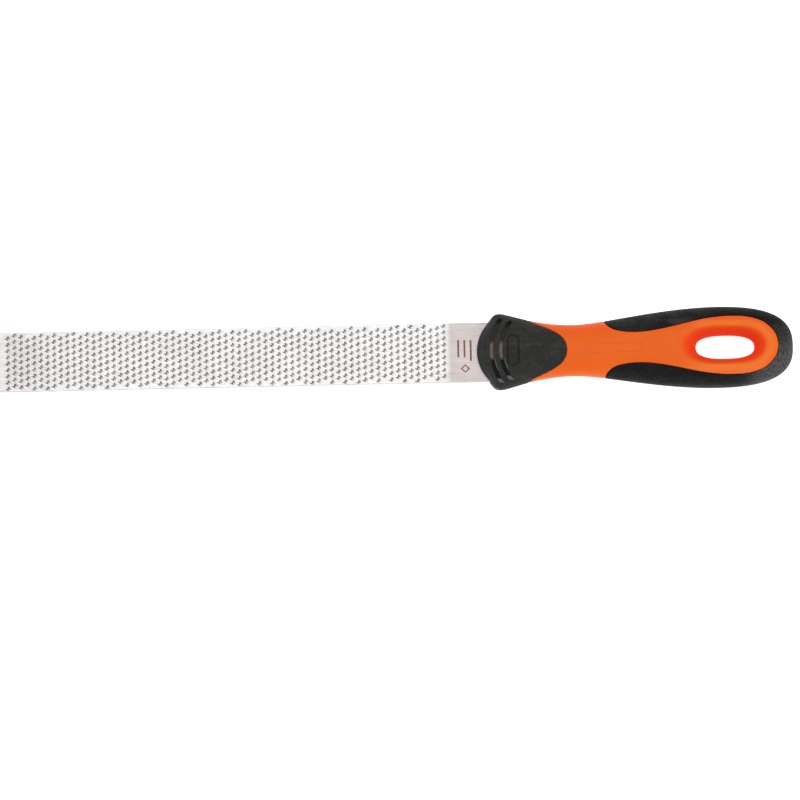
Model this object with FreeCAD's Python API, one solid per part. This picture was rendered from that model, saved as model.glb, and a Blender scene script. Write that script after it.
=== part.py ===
"""Flat wood rasp, 200 mm blade, with an overmoulded two-colour handle and a hanging eye.

Frame: +X runs along the tool from the blade's tip to the handle's butt, +Y across the blade,
+Z up out of the blade's upper face. The origin is under the middle of the tool's length, level
with the handle's belly. Every piece is drawn in "tool" coordinates, which start on the tool's
axis at the front of the collar, and is moved to the frame when it is saved. Millimetres.

Pieces: rasp_blade (one forging: toothed blade and tang), handle_core (hard plastic), and two
rubbery overmoulds on the core, front_collar and rear_grip.
"""

import FreeCAD
import Part
import math
import os

V = FreeCAD.Vector

# ---- blade
BLADE_LENGTH = 200.0  # tip to the front of the collar, on the axis
BLADE_WIDTH = 25.0
BLADE_THICKNESS = 4.4  # without the teeth
HEEL_TAPER_X = 4.2  # the heel's edges draw in slightly from here, just outside the collar
SHOULDER_X = 9.0  # the heel ends here, inside the core
SHOULDER_WIDTH = 24.4
TANG_ROOT_WIDTH = 11.0
TANG_TIP_WIDTH = 4.0
TANG_TIP_THICKNESS = 2.6
TANG_END_X = 70.0

# ---- rasp teeth: columns across the blade, each shifted along Y by the cutting machine's cam
TOOTH_COLUMNS = 67
COLUMN_PITCH = 2.768
FIRST_COLUMN_X = -196.1
ROW_PITCH = 2.656
FIRST_SHIFT = 0.78  # of a row pitch
CAM_STEPS = (0.47, 0.75, 0.37, 0.39, 0.34, 0.60, 0.39, 0.51, 0.40, 0.31, 0.39)
TOOTH_EDGE_MARGIN = 0.9  # a tooth's centre stays this far inside the blade's edge
TOOTH_LENGTH = 1.5
TOOTH_WIDTH = 1.3
TOOTH_HEIGHT = 0.55
TOOTH_LEAN = 0.25  # its point stands this share of its length behind its cutting edge

# ---- handle body: curves through points up to the butt, and a superellipse round the butt
HANDLE_LENGTH = 132.5
BUTT_X = 99.0  # the butt's rounding starts here, where the handle is widest and thickest
HANDLE_HALF_WIDTH = 16.98
HANDLE_HALF_DEPTH = 12.2
WIDTH_POINTS = [  # x, half width of the handle
    (-3, 17.3), (8, 16.65), (22, 13.05), (34, 11.1), (42, 10.85), (54, 12.1), (74, 15.05),
    (88, 16.5), (BUTT_X, HANDLE_HALF_WIDTH), (111, 16.5),
]
DEPTH_POINTS = [  # x, half thickness of the handle
    (-3, 3.6), (0.5, 6.2), (5, 7.8), (11, 8.4), (18, 8.2), (28, 7.5), (40, 7.3), (54, 8.4),
    (70, 10.3), (86, 11.75), (BUTT_X, HANDLE_HALF_DEPTH), (112, 11.75),
]
BUTT_PLAN_POWER = 2.7
BUTT_SIDE_POWER = 2.4
NECK_ROUNDNESS = 2.2  # superellipse exponent of the section at the front and the neck
BUTT_ROUNDNESS = 2.7  # and at the butt, which is boxier
ROUNDNESS_FROM_X = 70.0
SECTION_POINTS = 24
FRONT_STATIONS = 15
BUTT_STATIONS = 7
END_CAP_SHARE = 0.9985  # of the butt's length: the body ends in a tiny flat there

# ---- collar's nose in plan: a bulging front arc, straight shoulders and rounded corners
NOSE_RADIUS = 17.0
NOSE_ARC_HALF_WIDTH = 9.0
NOSE_CORNER = (8.0, 16.5)  # where the shoulder's line meets the side's
NOSE_SIDE = (22.0, 13.1)  # a point further back on the side
NOSE_CORNER_RADIUS = 4.5
NOSE_HALF_FACE = 3.8  # the front wall stands upright this far from the axis, and then leans back
NOSE_LEAN = 0.62  # by this much for each millimetre of height
NOSE_REACH = 12.0  # height of each leaning part: it ends outside the body

# ---- soft overmoulds
SKIN = 2.0  # thickness of the rubbery skin
TONGUE_POINTS = [  # x, half width of the collar's tongue over the core
    (20.5, 13.6), (25, 11.0), (29.7, 9.0), (33.3, 7.0), (35.7, 5.0), (37.0, 2.8), (37.5, 0),
]
ISLAND_POINTS = [  # x, half width of the bare core between the rear pads
    (53.3, 12.6), (54.4, 10.0), (57.2, 7.9), (61.5, 6.8), (67, 6.4), (74, 7.0), (82, 8.45),
    (90, 10.3), (98, 11.7), (106, 12.25), (114, 11.6), (121, 8.8), (124.8, 4.6), (125.9, 0),
]
GROOVE_WIDTH = 1.6
GROOVE_DEPTH = 1.0
GROOVE_CENTRE_X = 29.3
GROOVES = [(23.3, 12.9), (19.4, 11.8)]  # radius, half length across the collar
BADGE_X = 15.0
BADGE_LENGTH = 13.2  # across the collar
BADGE_WIDTH = 5.2
BADGE_LINE = 0.55
BADGE_DEPTH = 0.35

# ---- bare core
BLADE_CLEARANCE = 0.3  # round the heel, where it passes through the collar
LABEL_X = 57.0
LABEL_LENGTH = 23.4
LABEL_WIDTH = 4.0
LABEL_DEPTH = 0.15
EYE_X = 104.0
EYE_LENGTH = 24.6  # at the middle of the handle's thickness
EYE_WIDTH = 9.9
EYE_ROUNDNESS = 2.5  # superellipse exponent of the eye in plan
FLARE_TOP = 12.4  # the eye widens up to this height, just over the handle's highest level
FLARE_LENGTH = 44.0  # at that height
FLARE_WIDTH = 20.8
FLARE_STEPS = 7

COLLAR_X = (BLADE_LENGTH - HANDLE_LENGTH) / 2  # the collar's front in the frame
FAR = 60.0  # reaches past the handle in any direction


def smooth_curve(points):
    curve = Part.BSplineCurve()
    curve.interpolate([V(x, y, 0) for x, y in points])
    return curve


def at_x(curve, x):
    """The curve's y where it passes x. The curve always runs towards +X."""
    low, high = curve.FirstParameter, curve.LastParameter
    for _ in range(50):
        middle = (low + high) / 2
        if curve.value(middle).x < x:
            low = middle
        else:
            high = middle
    return curve.value(low).y


WIDTH_CURVE = smooth_curve(WIDTH_POINTS)
DEPTH_CURVE = smooth_curve(DEPTH_POINTS)


def superellipse(centre, across, up, exponent):
    """A closed superellipse about the centre. The vectors across and up are its half axes."""
    points = []
    for i in range(SECTION_POINTS):
        angle = 2 * math.pi * i / SECTION_POINTS
        c, s = math.cos(angle), math.sin(angle)
        a = math.copysign(abs(c) ** (2 / exponent), c)
        b = math.copysign(abs(s) ** (2 / exponent), s)
        points.append(centre + across * a + up * b)
    curve = Part.BSplineCurve()
    turn = [i / SECTION_POINTS for i in range(SECTION_POINTS + 1)]
    curve.interpolate(Points=points, Parameters=turn, PeriodicFlag=True)
    return Part.Wire(curve.toShape())


def section(x, half_width, half_depth, exponent):
    """The handle's section at x."""
    return superellipse(V(x, 0, 0), V(0, half_width, 0), V(0, 0, half_depth), exponent)


def body(inset=0.0):
    """The handle's outer form, or the same form taken in by inset at its sides and butt."""
    first = WIDTH_POINTS[0][0]
    wires = []
    for i in range(FRONT_STATIONS):
        x = first + (BUTT_X - first) * i / FRONT_STATIONS
        share = min(1.0, max(0.0, (x - ROUNDNESS_FROM_X) / (BUTT_X - ROUNDNESS_FROM_X)))
        exponent = NECK_ROUNDNESS + (BUTT_ROUNDNESS - NECK_ROUNDNESS) * share
        wires.append(section(x, at_x(WIDTH_CURVE, x) - inset, at_x(DEPTH_CURVE, x) - inset, exponent))
    butt_length = HANDLE_LENGTH - inset - BUTT_X
    for i in range(BUTT_STATIONS + 1):
        u = END_CAP_SHARE * math.sin(math.pi / 2 * i / BUTT_STATIONS)
        half_width = (HANDLE_HALF_WIDTH - inset) * (1 - u ** BUTT_PLAN_POWER) ** (1 / BUTT_PLAN_POWER)
        half_depth = (HANDLE_HALF_DEPTH - inset) * (1 - u ** BUTT_SIDE_POWER) ** (1 / BUTT_SIDE_POWER)
        wires.append(section(BUTT_X + butt_length * u, half_width, half_depth, BUTT_ROUNDNESS))
    return Part.makeLoft(wires, True)


def prism(wire, low=-FAR, high=FAR):
    """A plan outline carried up from z = low to z = high."""
    wire = wire.copy()
    wire.translate(V(0, 0, low))
    return Part.Face(wire).extrude(V(0, 0, high - low))


def facet(*points):
    """A flat face whose corners are the points, in order."""
    corners = [V(*point) for point in points]
    return Part.Face(Part.makePolygon(corners + corners[:1]))


def mirrored(points):
    """The points, then their mirror images about the axis in the opposite order."""
    return points + [(x, -y) for x, y in reversed(points) if y]


def stadium(length, width, x):
    """A plan outline that lies across the tool, with two straight sides and two half-round ends."""
    radius = width / 2
    straight = length / 2 - radius
    left, right = x - radius, x + radius
    return Part.Wire([
        Part.LineSegment(V(left, -straight, 0), V(left, straight, 0)).toShape(),
        Part.Arc(V(left, straight, 0), V(x, length / 2, 0), V(right, straight, 0)).toShape(),
        Part.LineSegment(V(right, straight, 0), V(right, -straight, 0)).toShape(),
        Part.Arc(V(right, -straight, 0), V(x, -length / 2, 0), V(left, -straight, 0)).toShape(),
    ])


def rounded_corner(before, corner, after, radius):
    """The arc that rounds the corner between the lines to the points before and after it."""
    back, ahead = (before - corner).normalize(), (after - corner).normalize()
    half_angle = back.getAngle(ahead) / 2
    reach = radius / math.tan(half_angle)
    middle = corner + (back + ahead).normalize() * (radius / math.sin(half_angle) - radius)
    return Part.Arc(corner + back * reach, middle, corner + ahead * reach)


def nose(inset=0.0):
    """Everything behind the collar's front, which is upright near the axis, leans back above and
    below it, and is set back by inset."""
    arc_x = NOSE_RADIUS - math.sqrt(NOSE_RADIUS ** 2 - NOSE_ARC_HALF_WIDTH ** 2)
    edges = []
    for side in (1, -1):
        start = V(arc_x, side * NOSE_ARC_HALF_WIDTH, 0)
        corner = V(NOSE_CORNER[0], side * NOSE_CORNER[1], 0)
        rounding = rounded_corner(start, corner, V(NOSE_SIDE[0], side * NOSE_SIDE[1], 0), NOSE_CORNER_RADIUS)
        end = rounding.EndPoint
        out = [end, V(end.x + FAR / 2, side * FAR, 0), V(HANDLE_LENGTH + FAR, side * FAR, 0)]
        edges += [Part.LineSegment(start, rounding.StartPoint).toShape(), rounding.toShape()]
        edges += Part.makePolygon(out).Edges
    left, right = V(arc_x, -NOSE_ARC_HALF_WIDTH, 0), V(arc_x, NOSE_ARC_HALF_WIDTH, 0)
    edges.append(Part.Arc(left, V(0, 0, 0), right).toShape())
    edges.append(Part.makeLine(V(HANDLE_LENGTH + FAR, -FAR, 0), V(HANDLE_LENGTH + FAR, FAR, 0)))
    wire = Part.Wire(Part.__sortEdges__(edges))
    wire.translate(V(inset, 0, 0))
    leaning = []
    for side in (1, -1):
        foot = wire.copy()
        foot.translate(V(0, 0, side * NOSE_HALF_FACE))
        leaning.append(Part.Face(foot).extrude(V(NOSE_LEAN * NOSE_REACH, 0, side * NOSE_REACH)))
    return prism(wire, -NOSE_HALF_FACE, NOSE_HALF_FACE).fuse(leaning)


def region(points, far_x):
    """The plan region between the smooth mirrored curve through the points and x = far_x."""
    curve = smooth_curve(mirrored(points))
    x, y = points[0]
    around = [V(x, -y, 0), V(x, -FAR, 0), V(far_x, -FAR, 0), V(far_x, FAR, 0), V(x, FAR, 0), V(x, y, 0)]
    return prism(Part.Wire([curve.toShape()] + Part.makePolygon(around).Edges))


def sunk(form, plan, depth):
    """What a plan shape takes away when it is pressed into the form's surface by depth."""
    return form.common(plan).cut(body(depth))


def groove(radius, half_length):
    """A band along an arc about the collar's groove centre, with rounded ends."""
    sweep = math.asin(half_length / radius)

    def on_arc(r, angle):
        return V(GROOVE_CENTRE_X - r * math.cos(angle), r * math.sin(angle), 0)

    inner, outer = radius - GROOVE_WIDTH / 2, radius + GROOVE_WIDTH / 2
    end = sweep + GROOVE_WIDTH / 2 / radius
    return prism(Part.Wire([
        Part.Arc(on_arc(outer, -sweep), on_arc(outer, 0), on_arc(outer, sweep)).toShape(),
        Part.Arc(on_arc(outer, sweep), on_arc(radius, end), on_arc(inner, sweep)).toShape(),
        Part.Arc(on_arc(inner, sweep), on_arc(inner, 0), on_arc(inner, -sweep)).toShape(),
        Part.Arc(on_arc(inner, -sweep), on_arc(radius, -end), on_arc(outer, -sweep)).toShape(),
    ]))


def hanging_eye():
    """The oval hole through the handle, which widens like a trumpet towards both faces."""
    wires = []
    for i in range(-FLARE_STEPS, FLARE_STEPS + 1):
        angle = math.pi / 2 * i / FLARE_STEPS
        spread = 1 - math.cos(angle)
        half_length = (EYE_LENGTH + (FLARE_LENGTH - EYE_LENGTH) * spread) / 2
        half_width = (EYE_WIDTH + (FLARE_WIDTH - EYE_WIDTH) * spread) / 2
        centre = V(EYE_X, 0, FLARE_TOP * math.sin(angle))
        wires.append(superellipse(centre, V(half_length, 0, 0), V(0, half_width, 0), EYE_ROUNDNESS))
    return Part.makeLoft(wires, True)


def plate_outline():
    """The blade's plan outline, from the tang's root round the tip and back."""
    side = [
        (SHOULDER_X, TANG_ROOT_WIDTH / 2), (SHOULDER_X, SHOULDER_WIDTH / 2),
        (HEEL_TAPER_X, BLADE_WIDTH / 2), (-BLADE_LENGTH, BLADE_WIDTH / 2),
    ]
    return mirrored(side)


def tooth_places():
    """The centre of each tooth on the upper face."""
    places = []
    shift = FIRST_SHIFT
    limit = BLADE_WIDTH / 2 - TOOTH_EDGE_MARGIN
    for column in range(TOOTH_COLUMNS):
        x = FIRST_COLUMN_X + column * COLUMN_PITCH
        first = math.ceil((-limit / ROW_PITCH) - shift)
        last = math.floor((limit / ROW_PITCH) - shift)
        places += [(x, (row + shift) * ROW_PITCH) for row in range(first, last + 1)]
        shift = (shift + CAM_STEPS[column % len(CAM_STEPS)]) % 1.0
    return places


def tooth(x, y, z, up):
    """A tooth's triangular base, and the three facets that rise from it to its point."""
    front = x - TOOTH_LENGTH / 2
    base = [(front, y - TOOTH_WIDTH / 2, z), (front, y + TOOTH_WIDTH / 2, z), (front + TOOTH_LENGTH, y, z)]
    point = (front + TOOTH_LENGTH * TOOTH_LEAN, y, z + up * TOOTH_HEIGHT)
    facets = [facet(base[i], base[(i + 1) % 3], point) for i in range(3)]
    return base, facets


def toothed_face(up):
    """One broad face of the blade, flat between its teeth. The lower face is the upper one turned over."""
    z = up * BLADE_THICKNESS / 2
    outline = [V(x, y, z) for x, y in plate_outline()]
    wires = [Part.makePolygon(outline + outline[:1])]
    facets = []
    for x, y in tooth_places():
        base, sides = tooth(x, up * y, z, up)
        corners = [V(*corner) for corner in base]
        wires.append(Part.makePolygon(corners + corners[:1]))
        facets += sides
    return [Part.Face(wires, "Part::FaceMakerBullseye")] + facets


def tang_and_edges():
    """The blade's narrow faces, and the tang, which tapers in width and thickness."""
    z, tip_z = BLADE_THICKNESS / 2, TANG_TIP_THICKNESS / 2
    root, tip = TANG_ROOT_WIDTH / 2, TANG_TIP_WIDTH / 2
    outline = plate_outline()
    faces = []
    for (x1, y1), (x2, y2) in zip(outline, outline[1:]):
        faces.append(facet((x1, y1, z), (x2, y2, z), (x2, y2, -z), (x1, y1, -z)))
    for side in (1, -1):
        faces.append(facet(
            (SHOULDER_X, root, side * z), (TANG_END_X, tip, side * tip_z),
            (TANG_END_X, -tip, side * tip_z), (SHOULDER_X, -root, side * z)))
        faces.append(facet(
            (SHOULDER_X, side * root, z), (TANG_END_X, side * tip, tip_z),
            (TANG_END_X, side * tip, -tip_z), (SHOULDER_X, side * root, -z)))
    faces.append(facet(
        (TANG_END_X, tip, tip_z), (TANG_END_X, -tip, tip_z),
        (TANG_END_X, -tip, -tip_z), (TANG_END_X, tip, -tip_z)))
    return faces


def rasp_blade():
    shell = Part.makeShell(toothed_face(1) + toothed_face(-1) + tang_and_edges())
    shell.sewShape()
    solid = Part.makeSolid(shell)
    if solid.Volume < 0:
        solid.reverse()
    return solid


def blade_room(clearance):
    """The space that the blade's heel and tang take in the handle, with the heel's clearance."""
    heel = Part.makeBox(SHOULDER_X + FAR, BLADE_WIDTH + 2 * clearance, BLADE_THICKNESS + 2 * clearance)
    heel.translate(V(-FAR, -BLADE_WIDTH / 2 - clearance, -BLADE_THICKNESS / 2 - clearance))
    plan = [(SHOULDER_X, TANG_ROOT_WIDTH), (TANG_END_X, TANG_TIP_WIDTH)]
    ends = []
    for (x, width), thickness in zip(plan, (BLADE_THICKNESS, TANG_TIP_THICKNESS)):
        y, z = width / 2, thickness / 2
        ends.append(Part.makePolygon([V(x, y, z), V(x, -y, z), V(x, -y, -z), V(x, y, -z), V(x, y, z)]))
    return heel.fuse(Part.makeLoft(ends, True))


def badge_ring():
    """The outline of a blank oval badge, on the upper side only."""
    outer = stadium(BADGE_LENGTH, BADGE_WIDTH, BADGE_X)
    inner = stadium(BADGE_LENGTH - 2 * BADGE_LINE, BADGE_WIDTH - 2 * BADGE_LINE, BADGE_X)
    return prism(outer, 0).cut(prism(inner, 0))


def label():
    """A blank oblong panel, on the upper side only."""
    corner = V(LABEL_X - LABEL_LENGTH / 2, -LABEL_WIDTH / 2, 0)
    return Part.makeBox(LABEL_LENGTH, LABEL_WIDTH, FAR, corner)


def only_solid(shape):
    assert len(shape.Solids) == 1 and shape.isValid()
    return shape.Solids[0]


os.makedirs("parts", exist_ok=True)

form = body().common(nose())
inner = body(SKIN).common(nose(SKIN))
cap = form.common(region(TONGUE_POINTS, -FAR)).cut(inner)
grip = form.common(region(ISLAND_POINTS, HANDLE_LENGTH + FAR)).cut(inner)
core = form.cut([cap, grip])

grooves = [sunk(form, groove(radius, half_length), GROOVE_DEPTH) for radius, half_length in GROOVES]
badge = sunk(form, badge_ring(), BADGE_DEPTH)
panel = sunk(form, label(), LABEL_DEPTH)

pieces = {
    "rasp_blade": rasp_blade(),
    "front_collar": cap.cut(grooves + [badge, blade_room(BLADE_CLEARANCE)]),
    "rear_grip": grip,
    "handle_core": core.cut([panel, hanging_eye(), blade_room(0)]),
}
belly_z = min(piece.optimalBoundingBox(False).ZMin for piece in pieces.values())
for name, piece in pieces.items():
    solid = only_solid(piece)
    solid.translate(V(COLLAR_X, 0, -belly_z))
    solid.exportStep("parts/" + name + ".step")
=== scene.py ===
import math
import random

import bmesh
import bpy
import numpy as np
from mathutils import Matrix, Vector, geometry


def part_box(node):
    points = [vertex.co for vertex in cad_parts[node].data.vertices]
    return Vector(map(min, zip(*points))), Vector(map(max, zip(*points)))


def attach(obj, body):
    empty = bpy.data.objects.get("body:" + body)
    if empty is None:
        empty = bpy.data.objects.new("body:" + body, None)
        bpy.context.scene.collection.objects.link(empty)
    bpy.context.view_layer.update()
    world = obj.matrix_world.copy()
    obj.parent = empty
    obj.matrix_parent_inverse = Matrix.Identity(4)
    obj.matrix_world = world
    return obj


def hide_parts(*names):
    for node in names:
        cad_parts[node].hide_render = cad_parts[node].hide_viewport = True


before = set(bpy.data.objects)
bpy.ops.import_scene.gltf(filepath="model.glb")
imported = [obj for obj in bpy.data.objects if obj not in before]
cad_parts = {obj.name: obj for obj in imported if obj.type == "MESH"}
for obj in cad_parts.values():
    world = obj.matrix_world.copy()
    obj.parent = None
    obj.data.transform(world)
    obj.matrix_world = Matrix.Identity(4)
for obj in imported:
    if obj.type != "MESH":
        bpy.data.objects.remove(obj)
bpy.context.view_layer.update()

MM = 0.001

# ---- places, all from the frame
BLADE_LOW, BLADE_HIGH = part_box("rasp_blade")
COLLAR_LOW, COLLAR_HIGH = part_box("front_collar")
CORE_LOW, CORE_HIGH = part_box("handle_core")
AXIS_Z = (BLADE_LOW.z + BLADE_HIGH.z) / 2
COLLAR_X = COLLAR_LOW.x  # the front of the collar, on the axis

# ---- blade
HALF_WIDTH = BLADE_HIGH.y
HALF_THICKNESS = 2.2 * MM
TIP_X = BLADE_LOW.x
HEEL_TAPER_X = COLLAR_X + 4.2 * MM
SHOULDER_X = COLLAR_X + 9.0 * MM
SHOULDER_HALF_WIDTH = 12.2 * MM
TANG_ROOT = 5.5 * MM
TANG_END_X = COLLAR_X + 70 * MM
TANG_TIP = (2.0 * MM, 1.3 * MM)  # half width, half thickness
EDGE_BEVEL = 0.18 * MM
EDGE_STEP = 4 * MM  # between the points along the long edges
MARKS = [  # outlines of the generic mark etched on the heel, in mm from the collar's front
    [(-8.2, -2.0), (-7.4, -2.0), (-7.4, 5.2), (-8.2, 5.2)],
    [(-5.6, -2.0), (-4.8, -2.0), (-4.8, 5.2), (-5.6, 5.2)],
    [(-3.0, -3.6), (-2.2, -3.6), (-2.2, 5.2), (-3.0, 5.2)],
    [(-7.0, -6.8), (-5.0, -8.6), (-5.0, -8.0), (-6.2, -6.8), (-5.0, -5.6), (-5.0, -5.0)],
    [(-3.0, -6.8), (-5.0, -5.0), (-5.0, -5.6), (-3.8, -6.8), (-5.0, -8.0), (-5.0, -8.6)],
]

# ---- handle details that the colours follow, in mm from the collar's front
GROOVE_CENTRE = 29.3
GROOVES = ((23.3, 12.9), (19.4, 11.8))  # radius, half length across the collar
NOSE_RADIUS = 17.0
BADGE_X = 15.0
BADGE_STRAIGHT = 4.0  # half length of the badge's straight sides
BADGE_RING = 2.33  # radius of the ring's line
EYE_X = COLLAR_X + 104 * MM
EYE_STRAIGHT = 7.2 * MM  # half length of the straight part of the oblong that the colours follow
EYE_ROUNDS = 14  # of smoothing over the eye's flare
CORE_VOXEL = 0.40 * MM
COLLAR_VOXEL = 0.22 * MM  # finer, for the narrow grooves and the badge's line
GRIP_VOXEL = 0.40 * MM
PANEL_X = COLLAR_X + 57 * MM
PANEL_HALF = (11.5 * MM, 1.85 * MM)  # half length and half width of the blank panel

# ---- teeth: the columns and the cam's shifts are those of the CAD blade
TOOTH_COLUMNS = 67
COLUMN_PITCH = 2.768 * MM
FIRST_COLUMN_X = COLLAR_X - 196.1 * MM
ROW_PITCH = 2.656 * MM
FIRST_SHIFT = 0.78
CAM_STEPS = (0.47, 0.75, 0.37, 0.39, 0.34, 0.60, 0.39, 0.51, 0.40, 0.31, 0.39)
TOOTH_EDGE_MARGIN = 0.9 * MM
RIM_MARGIN = 0.1 * MM  # least face left between a tooth's rim and the edge's bevel
TOOTH_SIZES = (0.93, 1.05)  # the teeth vary between these shares of the template
TOOTH_HEIGHTS = (0.8, 1.1)
TOOTH_JITTER = 0.05 * MM
SLIT_X = -0.34 * MM  # the slit's neck stands this far before the tooth's centre
# One tooth about its slit's neck: a pit with a shallow tail, a second pit, and a burr beside them.
TOOTH_RIM = [  # x, y in mm, level with the face, anticlockwise
    (-1.44, -0.22), (-1.04, -0.58), (-0.62, -0.90), (-0.06, -1.06), (0.45, -0.95), (0.88, -0.60),
    (1.10, -0.06), (0.98, 0.52), (0.62, 0.98), (0.08, 1.10), (-0.42, 0.82), (-0.94, 0.26),
]
TOOTH_INSIDE = [  # x, y, z in mm
    # shallow tail of the lower pit and the face beside it
    (-1.22, -0.23, -0.10), (-0.92, -0.24, -0.15), (-0.66, -0.13, -0.14), (-0.64, -0.32, -0.20),
    (-0.72, -0.54, -0.04), (-0.78, 0.04, 0.03), (-0.46, 0.08, 0.03), (-0.44, -0.80, -0.02),
    # lower pit
    (-0.40, -0.16, -0.30), (-0.20, -0.14, -0.30), (-0.40, -0.38, -0.38), (-0.20, -0.40, -0.40),
    (-0.28, -0.58, -0.22), (-0.12, -0.70, -0.28),
    # neck and upper pit
    (-0.13, 0.04, -0.18), (0.03, 0.08, -0.24), (-0.04, 0.34, -0.36), (0.20, 0.34, -0.38),
    (-0.02, 0.60, -0.38), (0.20, 0.60, -0.34), (0.10, 0.84, -0.18),
    # ramp that rises from the upper pit, and the lip before it
    (0.34, 0.06, -0.23), (0.62, 0.02, -0.16), (0.54, 0.26, -0.19), (0.88, -0.06, -0.08),
    (0.82, 0.18, -0.06), (0.48, 0.56, -0.10),
    (-0.28, 0.20, 0.05), (-0.26, 0.50, 0.07), (-0.22, 0.80, 0.05),
    # burr
    (0.02, -0.18, 0.06), (0.00, -0.46, 0.12), (0.08, -0.82, 0.05), (0.22, -0.42, 0.40),
    (0.32, -0.14, 0.10), (0.60, -0.28, 0.20), (0.46, -0.68, 0.14),
]


def new_object(name, mesh):
    obj = bpy.data.objects.new(name, mesh)
    bpy.context.scene.collection.objects.link(obj)
    return obj


# ---------------------------------------------------------------- materials


class Shader:
    """A short way to build a node tree: every method returns the output socket of a new node."""

    def __init__(self, name):
        self.material = bpy.data.materials.new(name)
        self.material.use_nodes = True
        self.nodes = self.material.node_tree.nodes
        self.links = self.material.node_tree.links
        self.surface = self.nodes["Principled BSDF"]
        self.place = self.nodes.new("ShaderNodeTexCoord").outputs["Object"]

    def feed(self, socket, value):
        if isinstance(value, bpy.types.NodeSocket):
            self.links.new(value, socket)
        elif isinstance(value, tuple) and len(value) == 3 and socket.type == "RGBA":
            socket.default_value = (*value, 1)
        else:
            socket.default_value = value

    def math(self, operation, a, b=0.0, clamp=False):
        node = self.nodes.new("ShaderNodeMath")
        node.operation = operation
        node.use_clamp = clamp
        self.feed(node.inputs[0], a)
        self.feed(node.inputs[1], b)
        return node.outputs[0]

    def ramp(self, value, low, high, out_low=0.0, out_high=1.0, smooth=True):
        node = self.nodes.new("ShaderNodeMapRange")
        node.interpolation_type = "SMOOTHSTEP" if smooth else "LINEAR"
        for key, number in (("Value", value), ("From Min", low), ("From Max", high),
                            ("To Min", out_low), ("To Max", out_high)):
            self.feed(node.inputs[key], number)
        return node.outputs["Result"]

    def mix(self, share, a, b):
        node = self.nodes.new("ShaderNodeMix")
        node.data_type = "RGBA"
        self.feed(node.inputs["Factor"], share)
        self.feed(node.inputs["A"], a)
        self.feed(node.inputs["B"], b)
        return node.outputs["Result"]

    def stretched(self, x, y, z):
        node = self.nodes.new("ShaderNodeMapping")
        self.feed(node.inputs["Vector"], self.place)
        node.inputs["Scale"].default_value = (x, y, z)
        return node.outputs["Vector"]

    def noise(self, scale, detail=2.0, roughness=0.5, vector=None):
        node = self.nodes.new("ShaderNodeTexNoise")
        self.feed(node.inputs["Vector"], self.place if vector is None else vector)
        node.inputs["Scale"].default_value = scale
        node.inputs["Detail"].default_value = detail
        node.inputs["Roughness"].default_value = roughness
        return node.outputs["Fac"]

    def split(self):
        node = self.nodes.new("ShaderNodeSeparateXYZ")
        self.links.new(self.place, node.inputs[0])
        return node.outputs

    def bump(self, height, distance, strength=1.0, after=None):
        node = self.nodes.new("ShaderNodeBump")
        node.inputs["Distance"].default_value = distance
        node.inputs["Strength"].default_value = strength
        self.links.new(height, node.inputs["Height"])
        if after is not None:
            self.links.new(after, node.inputs["Normal"])
        return node.outputs["Normal"]

    def finish(self, **sockets):
        for name, value in sockets.items():
            self.feed(self.surface.inputs[name.replace("_", " ")], value)
        return self.material


def steel():
    """The blade, coloured by depth: painted shade in the pits, a painted highlight on the burrs, bare
    heel, ground edges.
    """
    s = Shader("blade_steel")
    x, y, z = s.split()
    depth = s.math("SUBTRACT", s.math("ABSOLUTE", s.math("SUBTRACT", z, AXIS_Z)), HALF_THICKNESS)
    # painted shade: the pits are darkened by depth, faintly where shallow and strongly where deep
    shallow_pit_shade = s.ramp(depth, -0.02 * MM, -0.20 * MM, 0, 0.55)
    pit = s.ramp(depth, -0.14 * MM, -0.34 * MM)
    heel = s.ramp(x, COLLAR_X - 13.2 * MM, COLLAR_X - 10.5 * MM)
    grain = s.noise(900, 4, 0.6, s.stretched(0.25, 3.0, 1))
    cloud = s.ramp(s.noise(90, 3), 0.3, 0.7)
    face = s.mix(cloud, (0.645, 0.635, 0.628), (0.61, 0.60, 0.592))
    bare = s.mix(cloud, (0.440, 0.397, 0.388), (0.418, 0.375, 0.366))
    colour = s.mix(s.ramp(x, TIP_X + 40 * MM, TIP_X + 2 * MM, 0, 0.5), face, (0.50, 0.475, 0.47))
    colour = s.mix(heel, colour, bare)
    # painted highlight: the raised burrs are coloured brighter than the face
    colour = s.mix(s.ramp(depth, 0.02 * MM, 0.14 * MM), colour, (0.80, 0.79, 0.78))
    colour = s.mix(shallow_pit_shade, colour, (0.27, 0.245, 0.235))
    colour = s.mix(pit, colour, (0.22, 0.202, 0.195))
    side = s.ramp(s.math("ABSOLUTE", y), HALF_WIDTH - 0.25 * MM, HALF_WIDTH - 0.1 * MM)
    end = s.ramp(x, TIP_X + 0.25 * MM, TIP_X + 0.1 * MM)
    ground = s.mix(s.ramp(grain, 0.35, 0.65), (0.64, 0.63, 0.62), (0.56, 0.55, 0.54))
    colour = s.mix(s.math("MAXIMUM", side, end), colour, ground)
    rough = s.ramp(grain, 0.3, 0.7, 0.36, 0.48)
    return s.finish(Base_Color=colour, Metallic=0.6, Roughness=rough,
                    Normal=s.bump(grain, 0.012 * MM))


def etched_mark():
    s = Shader("etched_mark")
    wear = s.ramp(s.noise(1500, 3, 0.6), 0.35, 0.7)
    colour = s.mix(wear, (0.22, 0.075, 0.05), (0.36, 0.17, 0.13))
    return s.finish(Base_Color=colour, Roughness=0.7, Metallic=0.2, Specular_IOR_Level=0.2,
                    Normal=s.bump(wear, 0.01 * MM))


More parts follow.
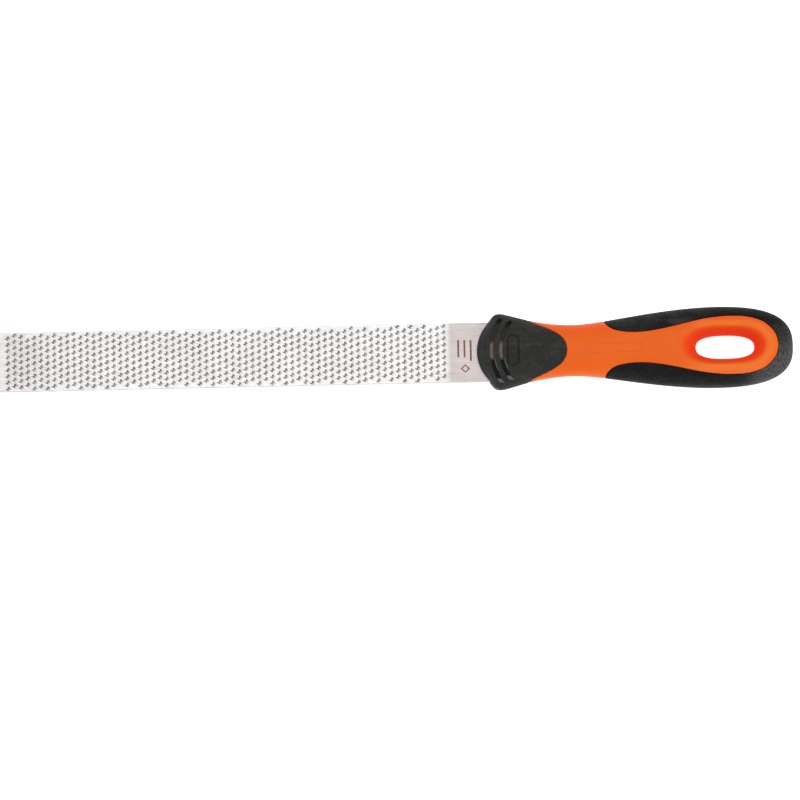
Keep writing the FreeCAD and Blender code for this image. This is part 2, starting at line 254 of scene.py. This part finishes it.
def orange_plastic():
    """The core: painted shade making its upper side redder, a painted pale sheen along its lower side, a
    painted highlight along the eye's crest, painted shade inside the eye, a faint line round the panel.
    """
    s = Shader("core_plastic")
    x, y, z = s.split()
    cloud = s.ramp(s.noise(60, 3), 0.25, 0.75)
    colour = s.mix(cloud, (0.84, 0.128, 0.007), (0.81, 0.115, 0.006))
    # painted shade: the upper side is tinted redder
    colour = s.mix(s.ramp(y, 5 * MM, 11 * MM, 0, 0.7), colour, (0.84, 0.086, 0.010))
    # painted sheen: the lower side of the orange island is tinted paler and whitish
    island = s.ramp(x, COLLAR_X + 70 * MM, COLLAR_X + 88 * MM, 0.08, 0.5)
    colour = s.mix(s.math("MULTIPLY", s.ramp(y, -7 * MM, -11 * MM), island), colour, (0.86, 0.19, 0.055))
    along = s.math("SUBTRACT", x, EYE_X)
    past = s.math("MAXIMUM", s.math("SUBTRACT", s.math("ABSOLUTE", along), EYE_STRAIGHT), 0.0)
    past = s.math("MULTIPLY", past, s.ramp(along, -1 * MM, 1 * MM, 0.62, 0.78))
    from_eye = s.math("SQRT", s.math("ADD", s.math("POWER", past, 2.0), s.math("POWER", y, 2.0)))
    # painted highlight: a paler ring along the crest of the eye's flare
    crest = s.math("MULTIPLY", s.ramp(from_eye, 7.2 * MM, 8.8 * MM),
                   s.ramp(from_eye, 11.5 * MM, 9.5 * MM))
    crest = s.math("MULTIPLY", crest, s.ramp(along, -19 * MM, -9 * MM, 0, 0.75))
    colour = s.mix(crest, colour, (0.88, 0.185, 0.02))
    # painted shade: darker red inside the eye's dish next to the hole
    eye_shade = s.ramp(from_eye, 8.4 * MM, 5.6 * MM)
    colour = s.mix(eye_shade, colour, (0.90, 0.070, 0.008))
    off = [s.math("SUBTRACT", s.math("ABSOLUTE", place), half) for place, half in
           zip((s.math("SUBTRACT", x, PANEL_X), y), PANEL_HALF)]
    line = s.math("ABSOLUTE", s.math("MAXIMUM", *off))
    panel = s.math("MULTIPLY", s.ramp(line, 0.4 * MM, 0.1 * MM, 0, 0.35),
                   s.ramp(z, AXIS_Z, AXIS_Z + 1 * MM))
    colour = s.mix(panel, colour, (0.62, 0.08, 0.008))
    grain = s.noise(2600, 3, 0.6)
    rough = s.math("MAXIMUM", s.ramp(s.noise(300, 4), 0.3, 0.7, 0.42, 0.52),
                   s.math("MULTIPLY", eye_shade, 0.85))
    return s.finish(Base_Color=colour, Roughness=rough, Specular_IOR_Level=0.16,
                    Normal=s.bump(grain, 0.02 * MM, 0.5))


def rubber_base(s):
    """The overmould's mottled black and its fine moulded texture."""
    speckle = s.noise(1700, 5, 0.75)
    cloud = s.ramp(s.noise(110, 5, 0.65), 0.38, 0.66)
    smear = s.ramp(s.noise(150, 4, 0.7, s.stretched(0.45, 1.6, 1)), 0.52, 0.74)
    colour = s.mix(cloud, (0.007, 0.007, 0.007), (0.016, 0.0155, 0.015))
    colour = s.mix(smear, colour, (0.030, 0.029, 0.028))
    fleck = s.math("MULTIPLY", s.ramp(speckle, 0.52, 0.66), s.ramp(cloud, 0.0, 1.0, 0.4, 1.0))
    colour = s.mix(fleck, colour, (0.075, 0.073, 0.070))
    rough = s.ramp(s.noise(700, 3), 0.3, 0.7, 0.62, 0.78)
    return colour, rough, s.bump(speckle, 0.10 * MM, 0.7)


def grip_rubber():
    """The horseshoe: painted shade along the upper and lower sides of its arms, and a speckled painted
    highlight over the lower side of the butt.
    """
    s = Shader("grip_rubber")
    colour, rough, normal = rubber_base(s)
    x, y, _ = s.split()
    behind = s.ramp(x, COLLAR_X + 108 * MM, COLLAR_X + 122 * MM)
    # painted shade: the upper and lower sides of the arms are darkened
    below = s.math("MULTIPLY", s.ramp(y, -4 * MM, -9 * MM), s.ramp(behind, 1.0, 0.0, 0, 0.55))
    above = s.math("MULTIPLY", s.ramp(y, 8 * MM, 11 * MM),
                   s.ramp(x, COLLAR_X + 80 * MM, COLLAR_X + 105 * MM, 0, 0.8))
    arm_edge_shade = s.math("MAXIMUM", below, above)
    colour = s.mix(arm_edge_shade, colour, (0.003, 0.003, 0.003))
    # painted highlight: speckled lighter colour over the lower side of the butt
    butt_highlight = s.math("MULTIPLY", behind, s.ramp(y, 8 * MM, -6 * MM))
    butt_highlight = s.math("MULTIPLY", butt_highlight, s.ramp(s.noise(1500, 3, 0.7), 0.38, 0.60, 0.15, 0.75))
    colour = s.mix(butt_highlight, colour, (0.125, 0.122, 0.120))
    return s.finish(Base_Color=colour, Roughness=rough, Specular_IOR_Level=0.12, Normal=normal)


def collar_rubber():
    """The collar: painted shade in the grooves, lighter in their upper halves, with a painted warm
    reflection in their middles and painted highlights at their lower ends; painted highlights on the
    ridges behind them; a painted highlight on the nose's rounded front; painted shade in the badge's
    ring line.
    """
    s = Shader("collar_rubber")
    colour, rough, normal = rubber_base(s)
    colour = s.mix(0.3, colour, (0.040, 0.040, 0.036))
    x, y, z = s.split()
    across = s.math("ABSOLUTE", y)
    from_centre = s.math("SUBTRACT", x, COLLAR_X + GROOVE_CENTRE * MM)
    radius = s.math("SQRT", s.math("ADD", s.math("POWER", from_centre, 2.0), s.math("POWER", y, 2.0)))
    for groove_radius, half_length in GROOVES:
        off = s.math("ABSOLUTE", s.math("SUBTRACT", radius, groove_radius * MM))
        # painted shade: the grooves are darkened, with a painted lighter share over their upper halves
        groove_shade = s.math("MULTIPLY", s.ramp(off, 0.95 * MM, 0.6 * MM),
                      s.ramp(across, (half_length + 0.8) * MM, (half_length + 0.1) * MM))
        groove_shade = s.math("MULTIPLY", groove_shade, s.ramp(x, COLLAR_X + 20 * MM, COLLAR_X + 18 * MM))
        lit = s.math("MULTIPLY", s.ramp(y, 2 * MM, 4 * MM),
                     s.ramp(y, (half_length - 0.8) * MM, (half_length - 2.5) * MM))
        colour = s.mix(groove_shade, colour, s.mix(lit, (0.004, 0.004, 0.004), (0.026, 0.026, 0.024)))
        # painted reflection: a warm brownish glow in the middle of each groove
        warm_reflection = s.math("MULTIPLY", groove_shade, s.ramp(across, 4.4 * MM, 2.4 * MM, 0, 0.8))
        colour = s.mix(warm_reflection, colour, (0.20, 0.152, 0.128))
        # painted highlight: bright grey spots at the lower end of each groove
        end_highlight = s.math("MULTIPLY", groove_shade, s.ramp(y, -(half_length - 1.7) * MM, -(half_length - 0.7) * MM))
        colour = s.mix(end_highlight, colour, (0.17, 0.175, 0.18))
        # painted highlight: a light grey streak along the ridge behind each groove, in its lower half
        ridge_off = s.math("ABSOLUTE", s.math("SUBTRACT", radius, (groove_radius - 1.05) * MM))
        ridge_highlight = s.math("MULTIPLY", s.ramp(ridge_off, 0.4 * MM, 0.1 * MM),
                     s.math("MULTIPLY", s.ramp(y, -2.5 * MM, -4.5 * MM), s.ramp(y, -9 * MM, -7 * MM)))
        ridge_highlight = s.math("MULTIPLY", ridge_highlight, s.ramp(x, COLLAR_X + 20 * MM, COLLAR_X + 18 * MM, 0, 0.7))
        colour = s.mix(ridge_highlight, colour, (0.11, 0.115, 0.12))
    to_nose = s.math("SUBTRACT", x, COLLAR_X + NOSE_RADIUS * MM)
    nose = s.math("SQRT", s.math("ADD", s.math("POWER", to_nose, 2.0), s.math("POWER", y, 2.0)))
    # painted highlight: the rounded front crescent of the nose is coloured lighter
    rim = s.ramp(nose, (NOSE_RADIUS - 2.7) * MM, (NOSE_RADIUS - 2.2) * MM)
    rim = s.math("MULTIPLY", rim, s.ramp(x, COLLAR_X + 9 * MM, COLLAR_X + 7 * MM, 0, 0.8))
    colour = s.mix(rim, colour, (0.030, 0.034, 0.036))
    past = s.math("MAXIMUM", s.math("SUBTRACT", across, BADGE_STRAIGHT * MM), 0.0)
    off = s.math("SUBTRACT", x, COLLAR_X + BADGE_X * MM)
    from_badge = s.math("SQRT", s.math("ADD", s.math("POWER", past, 2.0), s.math("POWER", off, 2.0)))
    line = s.math("ABSOLUTE", s.math("SUBTRACT", from_badge, BADGE_RING * MM))
    # painted shade: the badge's recessed ring line is darkened on the upper side
    ring = s.math("MULTIPLY", s.ramp(line, 0.42 * MM, 0.22 * MM),
                  s.ramp(z, AXIS_Z, AXIS_Z + 1 * MM, 0, 0.6))
    colour = s.mix(ring, colour, (0.003, 0.003, 0.003))
    return s.finish(Base_Color=colour, Roughness=rough, Specular_IOR_Level=0.2, Normal=normal)


# ---------------------------------------------------------------- blade


def tooth_places():
    """Where the teeth stand on the upper face."""
    limit = HALF_WIDTH - TOOTH_EDGE_MARGIN
    shift = FIRST_SHIFT
    for column in range(TOOTH_COLUMNS):
        x = FIRST_COLUMN_X + column * COLUMN_PITCH
        first = math.ceil(-limit / ROW_PITCH - shift)
        last = math.floor(limit / ROW_PITCH - shift)
        for row in range(first, last + 1):
            yield x, (row + shift) * ROW_PITCH
        shift = (shift + CAM_STEPS[column % len(CAM_STEPS)]) % 1.0


def plate_outline(inset):
    """The blade's plan outline from one side of the tang round the tip to the other, taken in by
    inset, with points along its long edges."""
    tip = TIP_X + inset
    side = HALF_WIDTH - inset
    steps = round((HEEL_TAPER_X - tip) / EDGE_STEP)
    left = [(tip + (HEEL_TAPER_X - tip) * i / steps, side) for i in range(steps + 1)]
    left += [(SHOULDER_X, SHOULDER_HALF_WIDTH - inset), (SHOULDER_X, TANG_ROOT)]
    return [(x, -y) for x, y in reversed(left)] + left


def tooth_template():
    """The tooth's points and triangles. The rim comes first."""
    rim = [(x * MM, y * MM, 0.0) for x, y in TOOTH_RIM]
    points = rim + [(x * MM, y * MM, z * MM) for x, y, z in TOOTH_INSIDE]
    flat = [Vector((x, y)) for x, y, _ in points]
    loop = [(i, (i + 1) % len(rim)) for i in range(len(rim))]
    _, _, faces, origins, _, _ = geometry.delaunay_2d_cdt(flat, loop, [], 1, 1e-9)
    order = [source[0] for source in origins]
    return points, [[order[i] for i in face] for face in faces]


def toothed_face():
    """The upper face: a flat sheet with a hole for each tooth, filled by a copy of the template."""
    rng = random.Random(11)
    template, triangles = tooth_template()
    rim_size = len(TOOTH_RIM)
    outline = plate_outline(EDGE_BEVEL)
    flat = [Vector(p) for p in outline]
    edges = [(i, (i + 1) % len(outline)) for i in range(len(outline))]
    reach = max(abs(y) for _, y in TOOTH_RIM) * MM
    limit = HALF_WIDTH - EDGE_BEVEL - RIM_MARGIN  # no tooth reaches past this
    teeth = []
    for x, y in tooth_places():
        size = rng.uniform(*TOOTH_SIZES)
        height = rng.uniform(*TOOTH_HEIGHTS)
        x += SLIT_X + rng.uniform(-TOOTH_JITTER, TOOTH_JITTER)
        y += rng.uniform(-TOOTH_JITTER, TOOTH_JITTER)
        up = min(size, (limit - y) / reach)
        down = min(size, (limit + y) / reach)
        points = [
            Vector((x + px * size, y + py * (up if py > 0 else down), pz * height))
            for px, py, pz in template
        ]
        teeth.append(points)
    rims = []
    for points in teeth:
        first = len(flat)
        flat += [p.xy for p in points[:rim_size]]
        rims.append([first + i for i in range(rim_size)])
    marks = []
    for mark in MARKS:
        first = len(flat)
        flat += [Vector((COLLAR_X + px * MM, py * MM)) for px, py in mark]
        marks.append([first + i for i in range(len(mark))])
    coords, _, faces, _, _, face_sources = geometry.delaunay_2d_cdt(flat, edges, rims + marks, 1, 1e-9)
    mesh = bmesh.new()
    verts = [mesh.verts.new((p.x, p.y, 0)) for p in coords]
    for face, sources in zip(faces, face_sources):
        if not sources or sources[0] >= len(rims):
            made = mesh.faces.new([verts[i] for i in face])
            made.material_index = 1 if sources else 0
    for points in teeth:
        own = [mesh.verts.new(p) for p in points]
        for triangle in triangles:
            mesh.faces.new([own[i] for i in triangle])
    bmesh.ops.remove_doubles(mesh, verts=mesh.verts, dist=1e-7)
    return mesh


def bridge(mesh, one, other, closed=True):
    """Quads between two rows of points of equal length. Returns the second row's vertices."""
    a = [mesh.verts.new(p) for p in one]
    b = [mesh.verts.new(p) for p in other]
    for i in range(0 if closed else 1, len(a)):
        mesh.faces.new((a[i - 1], a[i], b[i], b[i - 1]))
    return b


def build_blade():
    upper = toothed_face()
    bmesh.ops.translate(upper, verts=upper.verts, vec=(0, 0, HALF_THICKNESS))
    lower = upper.copy()
    bmesh.ops.rotate(lower, verts=lower.verts, matrix=Matrix.Rotation(math.pi, 3, "X"))
    temp = bpy.data.meshes.new("lower_face")
    lower.to_mesh(temp)
    upper.from_mesh(temp)
    bpy.data.meshes.remove(temp)
    lower.free()
    inner = plate_outline(EDGE_BEVEL)
    outer = plate_outline(0)
    heights = (HALF_THICKNESS, HALF_THICKNESS - EDGE_BEVEL, EDGE_BEVEL - HALF_THICKNESS, -HALF_THICKNESS)
    rows = [[(*p, z) for p in plan] for plan, z in zip((inner, outer, outer, inner), heights)]
    for above, below in zip(rows, rows[1:]):
        bridge(upper, above, below, closed=False)
    root = [(SHOULDER_X, side * TANG_ROOT, side * z) for side in (1, -1) for z in heights]
    narrower = TANG_TIP[0] / TANG_ROOT
    thinner = TANG_TIP[1] / HALF_THICKNESS
    end = [(TANG_END_X, y * narrower, z * thinner) for _, y, z in root]
    upper.faces.new(bridge(upper, root, end))
    bmesh.ops.remove_doubles(upper, verts=upper.verts, dist=1e-6)
    bmesh.ops.recalc_face_normals(upper, faces=upper.faces)
    bmesh.ops.translate(upper, verts=upper.verts, vec=(0, 0, AXIS_Z))
    mesh = bpy.data.meshes.new("blade")
    upper.to_mesh(mesh)
    upper.free()
    mesh.shade_smooth()
    mesh.set_sharp_from_angle(angle=math.radians(30))
    obj = new_object("toothed_blade", mesh)
    obj.data.materials.append(steel())
    obj.data.materials.append(etched_mark())
    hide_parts("rasp_blade")
    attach(obj, "root")


# ---------------------------------------------------------------- handle


def remeshed(name, node, voxel, rounds, softer=None):
    """A copy of a CAD node's mesh with evenly small faces and softly rounded edges. Where the
    function softer(x, y) gives a weight, it gets many more rounds of smoothing."""
    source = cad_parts[node].data.copy()
    work = bmesh.new()
    work.from_mesh(source)
    bmesh.ops.remove_doubles(work, verts=work.verts, dist=1e-6)
    work.to_mesh(source)
    work.free()
    obj = new_object(name, source)
    obj.data.materials.clear()
    remesh = obj.modifiers.new("even", "REMESH")
    remesh.mode = "VOXEL"
    remesh.voxel_size = voxel
    smooth = obj.modifiers.new("soft", "SMOOTH")
    smooth.factor = 0.5
    smooth.iterations = rounds
    bpy.context.view_layer.update()
    result = bpy.data.meshes.new_from_object(obj.evaluated_get(bpy.context.evaluated_depsgraph_get()))
    obj.modifiers.clear()
    obj.data = result
    bpy.data.meshes.remove(source)
    if softer is not None:
        relax(result, softer)
    result.shade_smooth()
    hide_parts(node)
    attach(obj, "root")
    return obj


def relax(mesh, weight_at):
    """Smooths a mesh in proportion to weight_at(x, y) by moving points to their neighbours' average."""
    points = np.empty(len(mesh.vertices) * 3)
    mesh.vertices.foreach_get("co", points)
    points = points.reshape(-1, 3)
    ends = np.empty(len(mesh.edges) * 2, dtype=np.int64)
    mesh.edges.foreach_get("vertices", ends)
    a, b = ends.reshape(-1, 2).T
    count = np.bincount(a, minlength=len(points)) + np.bincount(b, minlength=len(points))
    weight = 0.5 * weight_at(points[:, 0], points[:, 1])[:, None]
    for _ in range(EYE_ROUNDS):
        total = np.zeros_like(points)
        for axis in range(3):
            total[:, axis] = (np.bincount(a, points[b, axis], len(points))
                              + np.bincount(b, points[a, axis], len(points)))
        points += weight * (total / count[:, None] - points)
    mesh.vertices.foreach_set("co", points.ravel())
    mesh.update()


def near_eye(x, y):
    """1 over the eye's flare and 0 outside it and at the hole itself."""
    past = np.maximum(np.abs(x - EYE_X) - EYE_STRAIGHT, 0)
    away = np.hypot(past, y)
    rise = np.clip((away - 5.9 * MM) / (1.5 * MM), 0, 1)
    fall = np.clip((18 * MM - np.hypot(np.abs(x - EYE_X) * 0.72, y)) / (3 * MM), 0, 1)
    inside = np.clip((9.4 * MM - np.abs(y)) / (1.2 * MM), 0, 1)
    return rise * fall * inside


def build_handle():
    core = remeshed("orange_core", "handle_core", CORE_VOXEL, 6, near_eye)
    core.data.materials.append(orange_plastic())
    collar = remeshed("soft_collar", "front_collar", COLLAR_VOXEL, 4)
    collar.data.materials.append(collar_rubber())
    grip = remeshed("soft_grip", "rear_grip", GRIP_VOXEL, 5)
    grip.data.materials.append(grip_rubber())


# ---------------------------------------------------------------- stage


def area_light(name, place, target, size, power):
    light = bpy.data.lights.new(name, "AREA")
    light.shape = "RECTANGLE"
    light.size, light.size_y = size
    light.energy = power
    obj = new_object(name, light)
    obj.location = place
    obj.rotation_euler = (Vector(target) - Vector(place)).to_track_quat("-Z", "Y").to_euler()


FLOOR_HALF = 3.0
WORLD_STRENGTH = 0.62


def build_stage():
    half = FLOOR_HALF
    mesh = bpy.data.meshes.new("floor")
    corners = [(-half, -half, 0), (half, -half, 0), (half, half, 0), (-half, half, 0)]
    mesh.from_pydata(corners, [], [(0, 1, 2, 3)])
    floor = new_object("floor", mesh)
    s = Shader("floor")
    mesh.materials.append(s.finish(Base_Color=(0.9, 0.9, 0.9), Roughness=0.8,
                                   Emission_Color=(1.0, 1.0, 1.0), Emission_Strength=0.8))
    world = bpy.data.worlds.new("studio")
    world.use_nodes = True
    world.node_tree.nodes["Background"].inputs["Color"].default_value = (1, 1, 1, 1)
    world.node_tree.nodes["Background"].inputs["Strength"].default_value = WORLD_STRENGTH
    bpy.context.scene.world = world
    area_light("softbox", (0.0, 0.3, 2.3), (0, 0, 0), (1.9, 1.5), 20)
    area_light("butt_kick", (1.1, -0.9, 0.8), (0.15, 0, 0), (0.4, 0.4), 2.5)
    bpy.context.scene.view_settings.view_transform = "Standard"


CAMERA_ELEVATION = 84.6
CAMERA_ROLL = 1.25
LENS = 200.0
SENSOR = 36.0
PICTURE_WIDTH = 800
SCALE = 0.4188 * MM  # width at the tool of one of the render's elements
AIM = (COLLAR_X - 32.65 * MM, -19.2 * MM)


def build_camera():
    camera = bpy.data.cameras.new("camera")
    camera.lens = LENS
    camera.sensor_width = SENSOR
    camera.clip_start = 0.01
    camera.clip_end = 20
    obj = new_object("camera", camera)
    distance = SCALE * PICTURE_WIDTH * LENS / SENSOR
    elevation = math.radians(CAMERA_ELEVATION)
    aim = Vector((AIM[0], AIM[1], AXIS_Z))
    back = Vector((0, -math.cos(elevation), math.sin(elevation)))
    up = Vector((0, math.sin(elevation), math.cos(elevation)))
    right = Vector((1, 0, 0))
    turn = Matrix.Rotation(math.radians(-CAMERA_ROLL), 3, back)
    right, up = turn @ right, turn @ up
    obj.matrix_world = Matrix((
        (right.x, up.x, back.x, aim.x + back.x * distance),
        (right.y, up.y, back.y, aim.y + back.y * distance),
        (right.z, up.z, back.z, aim.z + back.z * distance),
        (0, 0, 0, 1),
    ))
    bpy.context.scene.camera = obj


build_blade()
build_handle()
build_stage()
build_camera()
